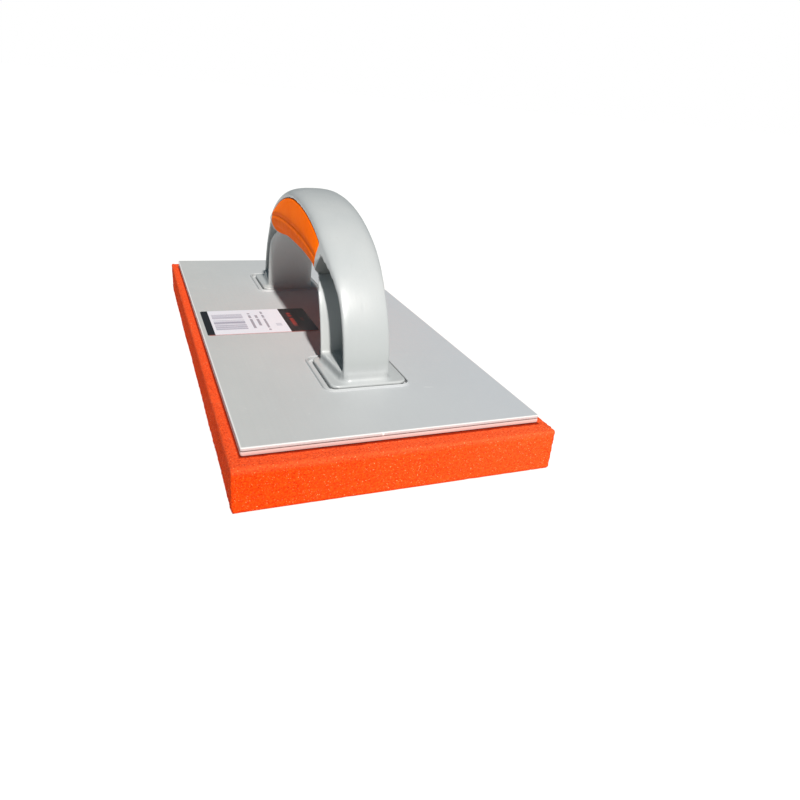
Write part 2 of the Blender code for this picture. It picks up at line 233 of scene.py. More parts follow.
def maths(tree, operation, *values):
    return add(
        tree, "ShaderNodeMath", dict(enumerate(values)), operation=operation
    ).outputs[0]


def mapped(tree, value, low, high, to_low=0.0, to_high=1.0):
    inputs = {"Value": value, 1: low, 2: high, 3: to_low, 4: to_high}
    return add(tree, "ShaderNodeMapRange", inputs).outputs[0]


def mixed(tree, factor, first, second):
    """Two colours mixed, each a socket or three numbers."""
    values = [v if isinstance(v, bpy.types.NodeSocket) else (*v, 1.0) for v in (first, second)]
    inputs = {0: factor, 6: values[0], 7: values[1]}
    return add(tree, "ShaderNodeMix", inputs, data_type="RGBA").outputs[2]


def tinted(tree, tone, mask, share, colour):
    """The tone, with this share of a colour where the mask is 1."""
    return mixed(tree, maths(tree, "MULTIPLY", mask, share), tone, colour)


def split(tree, place):
    """The place's three numbers."""
    return add(tree, "ShaderNodeSeparateXYZ", {0: place}).outputs


def bumped(tree, height, distance, strength=1.0, under=None):
    inputs = {"Height": height, "Distance": distance, "Strength": strength}
    if under is not None:
        inputs["Normal"] = under
    return add(tree, "ShaderNodeBump", inputs).outputs["Normal"]


def between(tree, value, low, high):
    """1 where the value lies between two limits."""
    return maths(tree, "COMPARE", value, (low + high) / 2, (high - low) / 2)


# Materials


def joint_line(tree, axes):
    """Near 1 on the sponge's top face close beside the sheets, where it is dark."""
    reach_x = maths(tree, "ABSOLUTE", axes[0])
    reach_y = maths(tree, "ABSOLUTE", axes[1])
    beside_x = mapped(tree, reach_x, CARRIER_HIGH.x + 0.9 * MM, CARRIER_HIGH.x + 0.3 * MM)
    beside_y = mapped(tree, reach_y, CARRIER_HIGH.y + 1.3 * MM, CARRIER_HIGH.y + 0.5 * MM)
    on_top = mapped(tree, axes[2], PAD_HIGH.z - 1.5 * MM, PAD_HIGH.z - MM, 0.0, 0.85)
    return maths(tree, "MULTIPLY", maths(tree, "MINIMUM", beside_x, beside_y), on_top)


def sponge_material():
    """Open-cell foam: grain, patches, painted shade in its pores, light sparks, painted light
    towards +X, and lighter upper edges.
    """
    material, tree, shader, place = new_material(
        "orange_sponge", Roughness=0.95, Specular_IOR_Level=0.05
    )
    cells = add(
        tree, "ShaderNodeTexVoronoi", {"Vector": place, "Scale": 1 / (1.15 * MM)}
    ).outputs["Distance"]
    fine = noise_value(tree, place, 0.7 * MM, detail=5.0, roughness=0.75)
    patches = noise_value(tree, place, 2.6 * MM, detail=4.0, roughness=0.65)
    clouds = noise_value(tree, place, 30 * MM)
    grain = mapped(tree, fine, 0.34, 0.66)
    axes = split(tree, place)
    body = mixed(tree, grain, (0.44, 0.012, 0.0), (0.98, 0.098, 0.006))
    body = mixed(tree, mapped(tree, patches, 0.35, 0.7, 0.0, 0.4), body, (0.80, 0.040, 0.001))
    body = mixed(tree, mapped(tree, clouds, 0.4, 0.65, 0.0, 0.2), body, (0.82, 0.070, 0.008))
    # Painted light from the +X side: the foam turns lighter towards +X.
    painted_light_towards_plus_x = mapped(tree, axes[0], -60 * MM, 60 * MM, 0.0, 0.35)
    body = mixed(tree, painted_light_towards_plus_x, body, (0.84, 0.120, 0.028))
    # Lighter towards the top edges.
    lighter_top_band = mapped(tree, axes[2], PAD_HIGH.z - 3 * MM, PAD_HIGH.z - 0.8 * MM, 0.0, 0.28)
    body = mixed(tree, lighter_top_band, body, (0.88, 0.150, 0.060))
    # Painted shade in the pores of the foam.
    pore_painted_shade = mapped(tree, cells, 0.45, 0.12, 0.0, 0.5)
    body = mixed(tree, pore_painted_shade, body, (0.42, 0.010, 0.001))
    sparks = noise_value(tree, place, 0.62 * MM, detail=3.0, roughness=0.75)
    body = mixed(tree, mapped(tree, sparks, 0.63, 0.70, 0.0, 0.95), body, (1.0, 0.50, 0.22))
    body = mixed(tree, joint_line(tree, axes), body, (0.22, 0.010, 0.002))
    tree.links.new(body, shader.inputs["Base Color"])
    normal = bumped(tree, cells, 0.25 * MM, 0.7)
    normal = bumped(tree, fine, 0.25 * MM, 0.9, normal)
    tree.links.new(normal, shader.inputs["Normal"])
    return material


def sheet_material(name, light, dark):
    """Extruded grey plastic sheet: faint drawing lines along Y, cloudy tone and fine wear."""
    material, tree, shader, place = new_material(name, Specular_IOR_Level=0.4)
    clouds = noise_value(tree, place, 60 * MM)
    lines = noise_value(tree, stretched(tree, place, (1.0, 0.03, 1.0)), 1.2 * MM, detail=2.0)
    dust = noise_value(tree, place, 3.5 * MM, detail=6.0, roughness=0.7)
    tone = mixed(tree, mapped(tree, clouds, 0.35, 0.65), dark, light)
    tone = mixed(tree, mapped(tree, lines, 0.3, 0.75, 0.0, 0.06), tone, (0.30, 0.30, 0.30))
    tone = mixed(tree, mapped(tree, dust, 0.60, 0.75, 0.0, 0.12), tone, (0.85, 0.84, 0.82))
    tree.links.new(tone, shader.inputs["Base Color"])
    tree.links.new(mapped(tree, dust, 0.3, 0.7, 0.42, 0.58), shader.inputs["Roughness"])
    normal = bumped(tree, lines, 0.02 * MM, 0.25)
    tree.links.new(normal, shader.inputs["Normal"])
    return material, tree, shader, place


def plate_material():
    """The sheet's plastic, with painted cool light towards +X, a painted pink reflection and a
    painted highlight on its cut edges, a cut mark and a scratch.
    """
    material, tree, shader, place = sheet_material(
        "pale_grey_sheet", (0.480, 0.488, 0.482), (0.458, 0.466, 0.462)
    )
    axes = split(tree, place)
    tone = shader.inputs["Base Color"].links[0].from_socket
    # Painted cool light from the +X side.
    cool = mapped(tree, axes[0], -60 * MM, 60 * MM, 0.0, 0.85)
    tone = mixed(tree, cool, tone, (0.472, 0.494, 0.522))
    reach_x = maths(tree, "ABSOLUTE", axes[0])
    reach_y = maths(tree, "ABSOLUTE", axes[1])
    at_side = mapped(tree, reach_x, PLATE_HIGH.x - 0.7 * MM, PLATE_HIGH.x - 0.3 * MM)
    at_end = mapped(tree, reach_y, PLATE_HIGH.y - 0.7 * MM, PLATE_HIGH.y - 0.3 * MM)
    sawn = maths(tree, "MAXIMUM", at_side, at_end)
    # Painted reflection: a pale pink band of the sponge's orange on the cut edges.
    tone = tinted(tree, tone, sawn, 0.8, (0.55, 0.505, 0.50))
    # Painted highlight along the top of the cut edges.
    painted_edge_highlight = mapped(tree, axes[2], PLATE_TOP - 0.40 * MM, PLATE_TOP - 0.25 * MM, 0.0, 0.7)
    tone = tinted(tree, tone, sawn, painted_edge_highlight, (0.80, 0.80, 0.79))
    along_edge = between(tree, axes[0], -8.9 * MM, -8.1 * MM)
    at_edge = between(tree, axes[1], PLATE_LOW.y - MM, PLATE_LOW.y + 0.2 * MM)
    tick = maths(tree, "MULTIPLY", along_edge, at_edge)
    slope = maths(tree, "MULTIPLY_ADD", axes[0], 0.18, axes[1])
    cut = between(tree, slope, -97.65 * MM, -97.35 * MM)
    scratch = maths(tree, "MULTIPLY", cut, between(tree, axes[0], 25.6 * MM, 30.2 * MM))
    marks = maths(tree, "MAXIMUM", tick, maths(tree, "MULTIPLY", scratch, 0.5))
    tree.links.new(mixed(tree, marks, tone, (0.85, 0.84, 0.82)), shader.inputs["Base Color"])
    return material


def pocket_end_painted_shade(tree, axes):
    """1 on the upper end wall of the two pockets at -Y, where shade is painted in."""
    wall = Section(-POCKET_END)
    behind, before = 1.3 * MM, 1.1 * MM
    outwards = (wall.crest - wall.inner).normalized()
    from_y = maths(tree, "SUBTRACT", axes[1], wall.inner.x)
    from_z = maths(tree, "SUBTRACT", axes[2], wall.inner.y)
    depth = maths(
        tree,
        "ADD",
        maths(tree, "MULTIPLY", from_y, outwards.x),
        maths(tree, "MULTIPLY", from_z, outwards.y),
    )
    beside = maths(
        tree,
        "SUBTRACT",
        maths(tree, "MULTIPLY", from_y, outwards.y),
        maths(tree, "MULTIPLY", from_z, outwards.x),
    )
    on_wall = between(tree, beside, -behind, before)
    in_depth = between(tree, depth, INNER_WALL - 0.6 * MM, wall.base - OUTER_WALL)
    reach = maths(tree, "ABSOLUTE", axes[0])
    inside = maths(tree, "LESS_THAN", reach, HALF_WIDTH[0] - 0.1 * MM)
    return maths(tree, "MULTIPLY", maths(tree, "MULTIPLY", on_wall, in_depth), inside)


def moulding_material():
    """Moulded grey plastic, with painted shade low on the posts' outer faces, painted light low on
    their inner faces and painted shade on the pockets' upper end walls.
    """
    material, tree, shader, place = new_material(
        "light_grey_moulding", Specular_IOR_Level=0.5, Coat_Weight=0.10, Coat_Roughness=0.22
    )
    clouds = noise_value(tree, place, 25 * MM)
    rubbed = stretched(tree, place, (1.0, 0.35, 0.25))
    scuffs = noise_value(tree, rubbed, 1.6 * MM, detail=6.0, roughness=0.7)
    skin = noise_value(tree, place, 0.35 * MM, detail=2.0)
    cloudy = mapped(tree, clouds, 0.35, 0.65)
    tone = mixed(tree, cloudy, (0.415, 0.435, 0.440), (0.445, 0.460, 0.462))
    axes = split(tree, place)
    reach = maths(tree, "ABSOLUTE", axes[1])
    # Painted shade low on the posts' outer faces.
    low_down = mapped(tree, axes[2], 62 * MM, 32 * MM, 0.0, 0.75)
    outside = maths(
        tree,
        "MULTIPLY",
        mapped(tree, reach, 72 * MM, 84 * MM),
        mapped(tree, axes[2], PLINTH_TOP, PLINTH_TOP + 4 * MM),
    )
    tone = tinted(tree, tone, low_down, outside, (0.365, 0.385, 0.382))
    # Painted light low on the posts' inner faces.
    inside = mapped(tree, reach, 69 * MM, 66 * MM, 0.0, 0.8)
    tone = tinted(tree, tone, low_down, inside, (0.510, 0.522, 0.510))
    # Painted shade on the pockets' upper end walls.
    tone = tinted(tree, tone, pocket_end_painted_shade(tree, axes), 0.75, (0.15, 0.155, 0.15))
    tone = mixed(tree, mapped(tree, scuffs, 0.58, 0.75, 0.0, 0.25), tone, (0.33, 0.33, 0.31))
    tree.links.new(tone, shader.inputs["Base Color"])
    tree.links.new(mapped(tree, scuffs, 0.3, 0.7, 0.27, 0.42), shader.inputs["Roughness"])
    streaks = noise_value(tree, stretched(tree, place, (1.0, 0.03, 0.03)), 2.5 * MM, detail=2.0)
    normal = bumped(tree, skin, 0.03 * MM, 0.25)
    normal = bumped(tree, scuffs, 0.05 * MM, 0.15, normal)
    normal = bumped(tree, streaks, 0.15 * MM, 0.3, normal)
    tree.links.new(normal, shader.inputs["Normal"])
    return material


def soft_grip_material():
    material, tree, shader, place = new_material(
        "orange_soft_grip", Specular_IOR_Level=0.03, Sheen_Weight=0.2, Sheen_Roughness=0.5
    )
    shader.inputs["Sheen Tint"].default_value = (1.0, 0.24, 0.01, 1.0)
    clouds = noise_value(tree, place, 14 * MM)
    skin = noise_value(tree, place, 0.5 * MM, detail=3.0)
    wear = noise_value(tree, place, 4.0 * MM, detail=5.0, roughness=0.7)
    tone = mixed(tree, mapped(tree, clouds, 0.35, 0.65), (0.97, 0.130, 0.0), (1.0, 0.150, 0.0))
    tone = mixed(tree, mapped(tree, wear, 0.55, 0.72, 0.0, 0.25), tone, (0.72, 0.085, 0.001))
    tree.links.new(tone, shader.inputs["Base Color"])
    tree.links.new(mapped(tree, wear, 0.3, 0.7, 0.55, 0.75), shader.inputs["Roughness"])
    tree.links.new(bumped(tree, skin, 0.05 * MM, 0.4), shader.inputs["Normal"])
    return material


def glue_material():
    material, tree, shader, place = new_material("amber_glue", Specular_IOR_Level=0.5)
    blobs = noise_value(tree, place, 2.0 * MM, detail=4.0)
    tone = mixed(tree, mapped(tree, blobs, 0.35, 0.65), (0.30, 0.10, 0.04), (0.42, 0.20, 0.09))
    tree.links.new(tone, shader.inputs["Base Color"])
    tree.links.new(mapped(tree, blobs, 0.3, 0.7, 0.25, 0.5), shader.inputs["Roughness"])
    tree.links.new(bumped(tree, blobs, 0.05 * MM, 0.5), shader.inputs["Normal"])
    return material


def steel_material():
    material, tree, shader, place = new_material("zinc_plated_steel", Metallic=1.0)
    brushed = noise_value(tree, stretched(tree, place, (1.0, 1.0, 0.1)), 0.25 * MM)
    spots = noise_value(tree, place, 1.5 * MM, detail=5.0)
    tone = mixed(tree, mapped(tree, spots, 0.4, 0.7), (0.60, 0.60, 0.57), (0.48, 0.48, 0.45))
    tree.links.new(tone, shader.inputs["Base Color"])
    tree.links.new(mapped(tree, brushed, 0.3, 0.7, 0.25, 0.45), shader.inputs["Roughness"])
    tree.links.new(bumped(tree, brushed, 0.03 * MM, 0.4), shader.inputs["Normal"])
    return material


def label_material():
    """Plain printed blocks: two dark panels, a light panel, a bar block and rows of dashes.

    The limits of the blocks are in millimetres.
    """
    material, tree, shader, place = new_material(
        "printed_label", Specular_IOR_Level=0.5, Coat_Weight=0.3, Coat_Roughness=0.2
    )
    axes = split(tree, place)
    x, y = axes[0], axes[1]

    def block(x_limits, y_limits):
        across = between(tree, x, x_limits[0] * MM, x_limits[1] * MM)
        along = between(tree, y, y_limits[0] * MM, y_limits[1] * MM)
        return maths(tree, "MULTIPLY", across, along)

    def broken(mask, pitch, share):
        """The mask with random gaps along Y, so that this share of it stays."""
        cell = maths(tree, "FLOOR", maths(tree, "DIVIDE", y, pitch * MM))
        chance = add(
            tree, "ShaderNodeTexWhiteNoise", {"W": cell}, noise_dimensions="1D"
        ).outputs["Value"]
        return maths(tree, "MULTIPLY", mask, maths(tree, "LESS_THAN", chance, share))

    paper = noise_value(tree, place, 0.6 * MM)
    tone = mixed(tree, mapped(tree, paper, 0.3, 0.7), (0.74, 0.735, 0.79), (0.79, 0.785, 0.84))
    bars = broken(block((-57.2, -40.2), (-12.6, 13.0)), 0.62, 0.52)
    tone = tinted(tree, tone, bars, 0.75, (0.22, 0.20, 0.28))
    rows = ((-36.3, 1.5, -13.0, 14.0), (-32.6, 1.5, -8.0, 10.0), (-28.8, 1.3, -16.0, 16.0))
    for centre, height, low, high in rows:
        limits = (centre - height / 2, centre + height / 2)
        dashes = broken(block(limits, (low, high)), 1.7, 0.8)
        tone = tinted(tree, tone, dashes, 0.75, (0.24, 0.20, 0.24))
    stamp = block((-24.0, -20.8), (-9.5, -5.0))
    tone = tinted(tree, tone, stamp, 0.5, (0.42, 0.42, 0.5))
    ink = mapped(tree, paper, 0.3, 0.7)
    black = mixed(tree, ink, (0.012, 0.009, 0.010), (0.020, 0.014, 0.015))
    tone = mixed(tree, between(tree, x, -18.0 * MM, 0.0), tone, black)
    tone = mixed(tree, between(tree, x, -70.0 * MM, -58.6 * MM), tone, black)
    red = broken(block((-14.5, -12.2), (-11.0, 12.0)), 1.3, 0.78)
    tone = tinted(tree, tone, red, 0.7, (0.42, 0.030, 0.015))
    faint = block((-8.4, -6.6), (-2.5, 3.0))
    tone = tinted(tree, tone, faint, 0.5, (0.25, 0.02, 0.015))
    border = between(tree, y, -25.0 * MM, -19.5 * MM)
    tone = tinted(tree, tone, border, 0.6, (0.50, 0.12, 0.10))
    tree.links.new(tone, shader.inputs["Base Color"])
    tree.links.new(mapped(tree, paper, 0.3, 0.7, 0.28, 0.40), shader.inputs["Roughness"])
    tree.links.new(bumped(tree, paper, 0.01 * MM, 0.3), shader.inputs["Normal"])
    return material


def floor_material():
    material, tree, shader, place = new_material(
        "pale_floor", Specular_IOR_Level=0.2, Roughness=0.8
    )
    clouds = noise_value(tree, place, 0.5)
    tone = mixed(tree, clouds, (0.88, 0.88, 0.88), (0.92, 0.92, 0.92))
    tree.links.new(tone, shader.inputs["Base Color"])
    return material


# Shape helpers


def object_from_bmesh(name, shape, material, smooth_angle=None):
    bmesh.ops.recalc_face_normals(shape, faces=shape.faces)
    mesh = bpy.data.meshes.new(name)
    shape.to_mesh(mesh)
    shape.free()
    obj = bpy.data.objects.new(name, mesh)
    bpy.context.scene.collection.objects.link(obj)
    mesh.materials.append(material)
    if smooth_angle is not None:
        mesh.shade_smooth()
        mesh.set_sharp_from_angle(angle=math.radians(smooth_angle))
    return obj


def baked(obj):
    """The object with its modifiers applied."""
    bpy.context.view_layer.update()
    graph = bpy.context.evaluated_depsgraph_get()
    mesh = bpy.data.meshes.new_from_object(obj.evaluated_get(graph))
    old = obj.data
    obj.modifiers.clear()
    obj.data = mesh
    bpy.data.meshes.remove(old)
    mesh.name = obj.name
    return obj


def rounded_rectangle(width, length, radius, centre=(0.0, 0.0), steps=8):
    """Corner arcs of a rectangle, anticlockwise."""
    points = []
    corners = ((1, 1), (-1, 1), (-1, -1), (1, -1))
    for quarter, (side_x, side_y) in enumerate(corners):
        middle_x = centre[0] + side_x * (width / 2 - radius)
        middle_y = centre[1] + side_y * (length / 2 - radius)
        for step in range(steps + 1):
            angle = math.pi / 2 * (quarter + step / steps)
            points.append(
                (middle_x + radius * math.cos(angle), middle_y + radius * math.sin(angle))
            )
    return points


def circle(radius, centre, steps=24):
    turn = 2 * math.pi / steps
    return [
        (centre[0] + radius * math.cos(turn * i), centre[1] + radius * math.sin(turn * i))
        for i in range(steps)
    ]


def new_ring(shape, outline, z):
    return [shape.verts.new((x, y, z)) for x, y in outline]


def skin_rings(shape, rings):
    """Side faces between rings with the same number of points."""
    for ring, following in zip(rings, rings[1:]):
        count = len(ring)
        for i in range(count):
            j = (i + 1) % count
            shape.faces.new((ring[i], ring[j], following[j], following[i]))


def fill_between(shape, rings):
    """One flat face made of triangles, inside the first ring and outside the others."""
    edges = []
    for ring in rings:
        for a, b in zip(ring, ring[1:] + ring[:1]):
            edges.append(shape.edges.get((a, b)) or shape.edges.new((a, b)))
    bmesh.ops.triangle_fill(shape, use_beauty=True, edges=edges)


def rectangle_stack(shape, size, radius, centre, profile, side_share=1.0):
    """Rings of one rounded rectangle, for a profile of (distance inwards, height) points."""
    rings = []
    for inwards, z in profile:
        outline = rounded_rectangle(
            size[0] - 2 * inwards * side_share, size[1] - 2 * inwards, radius - inwards, centre
        )
        rings.append(new_ring(shape, outline, z))
    skin_rings(shape, rings)
    return rings


def slab_edge(bottom, top):
    """Profile of a sawn sheet's edge, its two corners a little rounded."""
    r = SHEET_EDGE_RADIUS
    soft = [(r, bottom), (0.3 * r, bottom + 0.3 * r), (0.0, bottom + r)]
    return soft + [(0.0, top - r), (0.3 * r, top - 0.3 * r), (r, top)]


# Pieces


def make_sheet(name, low, high, top, hole_radius, material, rims=False):
    """A bonded sheet with its screw holes and, on the upper one, the seats of the feet."""
    shape = bmesh.new()
    size = (high.x - low.x, high.y - low.y)
    outer = rectangle_stack(shape, size, SHEET_CORNER_RADIUS, (0.0, 0.0), slab_edge(low.z, top))
    bottom_rings = [outer[0]]
    top_rings = [outer[-1]]
    soft = 0.15 * MM
    seat_start = (RIM_SIZE - FLANGE_SIZE) / 2 + GROOVE_UNDER_FLANGE
    profile = [
        (-0.5 * MM, top),
        (-0.15 * MM, top + 0.08 * MM),
        (0.0, top + 0.3 * MM),
        (0.08 * MM, top + 0.75 * MM),
        (0.35 * MM, top + RIM_HEIGHT),
        (RIM_WIDTH - 0.35 * MM, top + RIM_HEIGHT),
        (RIM_WIDTH - 0.08 * MM, top + 0.75 * MM),
        (RIM_WIDTH, top + 0.3 * MM),
        (RIM_WIDTH, top - GROOVE_DEPTH + soft),
        (RIM_WIDTH + soft, top - GROOVE_DEPTH),
        (seat_start - soft, top - GROOVE_DEPTH),
        (seat_start, top - GROOVE_DEPTH + soft),
        (seat_start, top - SEAT_DEPTH),
        (seat_start + 0.2 * MM, top - SEAT_DEPTH),
    ]
    for end in (-1, 1):
        centre = (0.0, end * FOOT_CENTRE_Y)
        seat_rings = top_rings
        seat_z = top
        if rims:
            rings = rectangle_stack(
                shape, (RIM_SIZE, RIM_SIZE), RIM_CORNER_RADIUS, centre, profile
            )
            top_rings.append(rings[0])
            seat_rings = [rings[-1]]
            seat_z = top - SEAT_DEPTH
        for screw_low, screw_high in SCREWS:
            middle = (screw_low + screw_high) / 2
            if middle.y * end < 0:
                continue
            outline = circle(hole_radius, (middle.x, middle.y))
            lower, upper = new_ring(shape, outline, low.z), new_ring(shape, outline, seat_z)
            skin_rings(shape, [lower, upper])
            bottom_rings.append(lower)
            seat_rings.append(upper)
        if rims:
            fill_between(shape, seat_rings)
    fill_between(shape, bottom_rings)
    fill_between(shape, top_rings)
    sheet = object_from_bmesh(name, shape, material, smooth_angle=35)
    even = sheet.modifiers.new("even_faces", "WEIGHTED_NORMAL")
    even.weight = 100
    even.keep_sharp = True
    return sheet


def make_label(material):
    """A thin sticker with round corners and a softened upper edge."""
    shape = bmesh.new()
    centre = ((LABEL_LOW.x + LABEL_HIGH.x) / 2, (LABEL_LOW.y + LABEL_HIGH.y) / 2)
    size = (LABEL_HIGH.x - LABEL_LOW.x, LABEL_HIGH.y - LABEL_LOW.y)
    soft = 0.05 * MM
    profile = [(0.0, LABEL_LOW.z), (0.0, LABEL_HIGH.z - soft), (soft, LABEL_HIGH.z)]
    rings = rectangle_stack(shape, size, LABEL_RADIUS, centre, profile)
    fill_between(shape, rings[:1])
    fill_between(shape, rings[-1:])
    return object_from_bmesh("label_print", shape, material, smooth_angle=30)


def stations(low, high, margin, fine, coarse):
    """Places from low to high: close together near both ends and wider between them."""
    inner_low, inner_high = low + margin, high - margin
    edge_steps = round(margin / fine)
    middle_steps = round((inner_high - inner_low) / coarse)
    places = [low + margin * i / edge_steps for i in range(edge_steps)]
    span = inner_high - inner_low
    places += [inner_low + span * i / middle_steps for i in range(middle_steps)]
    places += [inner_high + margin * i / edge_steps for i in range(edge_steps + 1)]
    return places


def pad_point(point):
    """A point of the plain block, its edges rounded and its cut faces given the foam's grain."""
    low = PAD_LOW + Vector((PAD_EDGE_RADIUS,) * 3)
    high = PAD_HIGH - Vector((PAD_EDGE_RADIUS,) * 3)
    inner = Vector(min(max(c, a), b) for c, a, b in zip(point, low, high))
    outwards = (point - inner).normalized()
    wave = noise.noise(point / PAD_WAVE_SIZE)
    fine_grain = noise.noise(point / PAD_FINE_GRAIN_SIZE)
    grain = noise.noise(point / PAD_GRAIN_SIZE) + PAD_FINE_GRAIN_SHARE * fine_grain
    depth = PAD_WAVE * wave + PAD_GRAIN * grain
    if outwards.z > 0.7 and abs(point.x) < CARRIER_HIGH.x and abs(point.y) < CARRIER_HIGH.y:
        depth = PAD_BONDED_DEPTH
    elif outwards.z < -0.7:
        depth = max(depth, 0.0)
    return inner + outwards * (PAD_EDGE_RADIUS - min(depth, PAD_DEEPEST))


def make_pad(material):
    """The sponge block as one closed grid, fine along its sides and coarser under the sheets."""
    xs = stations(PAD_LOW.x, PAD_HIGH.x, PAD_FINE_MARGIN, PAD_FINE_STEP, PAD_COARSE_STEP)
    ys = stations(PAD_LOW.y, PAD_HIGH.y, PAD_FINE_MARGIN, PAD_FINE_STEP, 1.3 * PAD_FINE_STEP)
    height = PAD_HIGH.z - PAD_LOW.z
    rows = round(height / (0.8 * PAD_FINE_STEP))
    zs = [PAD_LOW.z + height * i / rows for i in range(rows + 1)]
    shape = bmesh.new()
    made = {}

    def vertex(i, j, k):
        if (i, j, k) not in made:
            made[i, j, k] = shape.verts.new(pad_point(Vector((xs[i], ys[j], zs[k]))))
        return made[i, j, k]

    def grid(count_a, count_b, place):
        for a in range(count_a - 1):
            for b in range(count_b - 1):
                corners = ((a, b), (a + 1, b), (a + 1, b + 1), (a, b + 1))
                shape.faces.new([vertex(*place(*corner)) for corner in corners])

    for k in (0, len(zs) - 1):
        grid(len(xs), len(ys), lambda a, b: (a, b, k))
    for j in (0, len(ys) - 1):
        grid(len(xs), len(zs), lambda a, b: (a, j, b))
    for i in (0, len(xs) - 1):
        grid(len(ys), len(zs), lambda a, b: (i, a, b))
    return object_from_bmesh("sponge_block", shape, material, smooth_angle=180)


# The handle's arch


def crest_path(end):
    """Half of the crest, from the foot at this end up to Y = 0: a superellipse."""
    power = 2 / CREST_ROUNDNESS[end]
    points = []
    for step in range(PATH_STEPS + 1):
        angle = math.pi / 2 * step / PATH_STEPS
        reach = CREST_REACH[end] * math.cos(angle) ** power
        height = CREST_HEIGHT * math.sin(angle) ** power
        points.append(Vector((end * reach, ARCH_FOOT_Z + height)))
    return points


def hand_side_path(end):
    """Half of the face towards the hand: a Catmull-Rom curve through HAND_SIDE."""
    knots = [Vector((end * y, z)) * MM for y, z in HAND_SIDE]
    before = 2 * knots[0] - knots[1]
    after = Vector((-knots[-2].x, knots[-2].y))
    knots = [before, *knots, after]
    spans = len(knots) - 3
    points = []
    for step in range(PATH_STEPS + 1):
        place = spans * step / PATH_STEPS
        span = min(int(place), spans - 1)
        t = place - span
        a, b, c, d = knots[span : span + 4]
        second = 2 * a - 5 * b + 4 * c - d
        third = 3 * b - 3 * c + d - a
        points.append(0.5 * (2 * b + (c - a) * t + second * t**2 + third * t**3))
    return points


def point_at(path, fraction):
    """The point at a fraction of the path's length."""
    lengths = [(b - a).length for a, b in zip(path, path[1:])]
    left = fraction * sum(lengths)
    for a, b, length in zip(path, path[1:], lengths):
        if left <= length:
            return a.lerp(b, left / length)
        left -= length
    return path[-1].copy()


CREST = {end: crest_path(end) for end in (-1, 1)}
HAND_FACE = {end: hand_side_path(end) for end in (-1, 1)}


def blend(pair, along):
    """From the post's value to the grip's, with a soft change between them."""
    t = min(max((1 - abs(along) - CHANGE_START) / CHANGE_LENGTH, 0.0), 1.0)
    return pair[0] + (pair[1] - pair[0]) * t * t * (3 - 2 * t)


class Section:
    """The handle's outline at one place along the arch, as (x, depth) from the hand side."""

    def __init__(self, along):
        end = 1 if along > 0 else -1
        self.crest = point_at(CREST[end], 1 - abs(along))
        self.inner = point_at(HAND_FACE[end], 1 - abs(along))
        self.depth = (self.crest - self.inner).length
        self.dome_half = blend(DOME_HALF_WIDTH, along)
        self.rise = blend(DOME_RISE, along)
        self.half_width = blend(HALF_WIDTH, along)
        self.edge = blend(EDGE_HEIGHT, along)
        self.squareness = blend(SQUARENESS, along)
        self.curve = blend(SIDE_CURVE, along)
        self.base = self.depth - self.rise
        self.along = along

    def side(self, depth):
        """Half of the width at this depth, under the dome."""
        if depth >= self.edge:
            t = (depth - self.edge) / (self.base - self.edge)
            spread = self.half_width - self.dome_half
            return self.dome_half + spread * max(math.cos(math.pi / 2 * t), 0.0) ** self.curve
        rest = 1 - (1 - max(depth, 0.0) / self.edge) ** self.squareness
        return self.half_width * rest ** (1 / self.squareness)

    def dome(self):
        """Points over the crest, from its middle to the top of the side."""
        points = []
        for step in range(DOME_STEPS + 1):
            angle = math.pi / 2 * (1 - step / DOME_STEPS)
            x = self.dome_half * math.cos(angle) ** (2 / DOME_SQUARENESS)
            rise = self.rise * math.sin(angle) ** (2 / DOME_SQUARENESS)
            points.append((x, self.base + rise))
        return points

    def side_run(self, start, end, steps):
        """Points down the side from one depth to another, closer together near the hand side."""
        run = []
        for step in range(steps + 1):
            t = math.sin(math.pi / 2 * step / steps)
            depth = start + (end - start) * t
            run.append((self.side(depth), depth))
        return run

    def placed(self, points):
        """These points in space."""
        outwards = (self.crest - self.inner).normalized()
        result = []
        for x, depth in points:
            point = self.inner + outwards * depth
            result.append((x, point.x, point.y))
        return result


def line(start, end, steps):
    return [
        (start[0] + (end[0] - start[0]) * i / steps, start[1] + (end[1] - start[1]) * i / steps)
        for i in range(steps + 1)
    ]


def grip_top(section):
    """Depth of the soft grip's upper edge: under the dome, then down to the hand side."""
    left = (GRIP_END - abs(section.along)) / GRIP_TAPER
    if left >= 1:
        return section.base
    share = (1 - (1 - max(left, 0.0)) ** 2) ** (1 / GRIP_END_SQUARENESS)
    return GRIP_THICKNESS + (section.base - GRIP_THICKNESS) * share


def body_half(section, kind):
    """Half of the grey moulding's outline, from the crest to the hand side."""
    if kind == "grip":
        top = grip_top(section)
        low = GRIP_THICKNESS
        wall = CORE_HALF_WIDTH
    else:
        top = section.base - OUTER_WALL
        low = INNER_WALL
        wall = WEB_HALF_THICKNESS
    upper = section.side_run(section.base, top, 4)
    points = section.dome() + upper[1:]
    if kind == "solid":
        points += section.side_run(top, low, 24)[1:]
        points += section.side_run(low, 0.0, 10)[1:]
        return points
    points += line(upper[-1], (wall, top), 6)[1:]
    points += line((wall, top), (wall, low), 12)[1:]
    if kind == "grip":
        return points + line((wall, low), (0.0, low), 16)[1:]
    points += line((wall, low), (section.side(low), low), 6)[1:]
    return points + section.side_run(low, 0.0, 10)[1:]


def body_outline(section, kind):
    half = body_half(section, kind)
    return half + [(-x, depth) for x, depth in reversed(half[1:-1])]


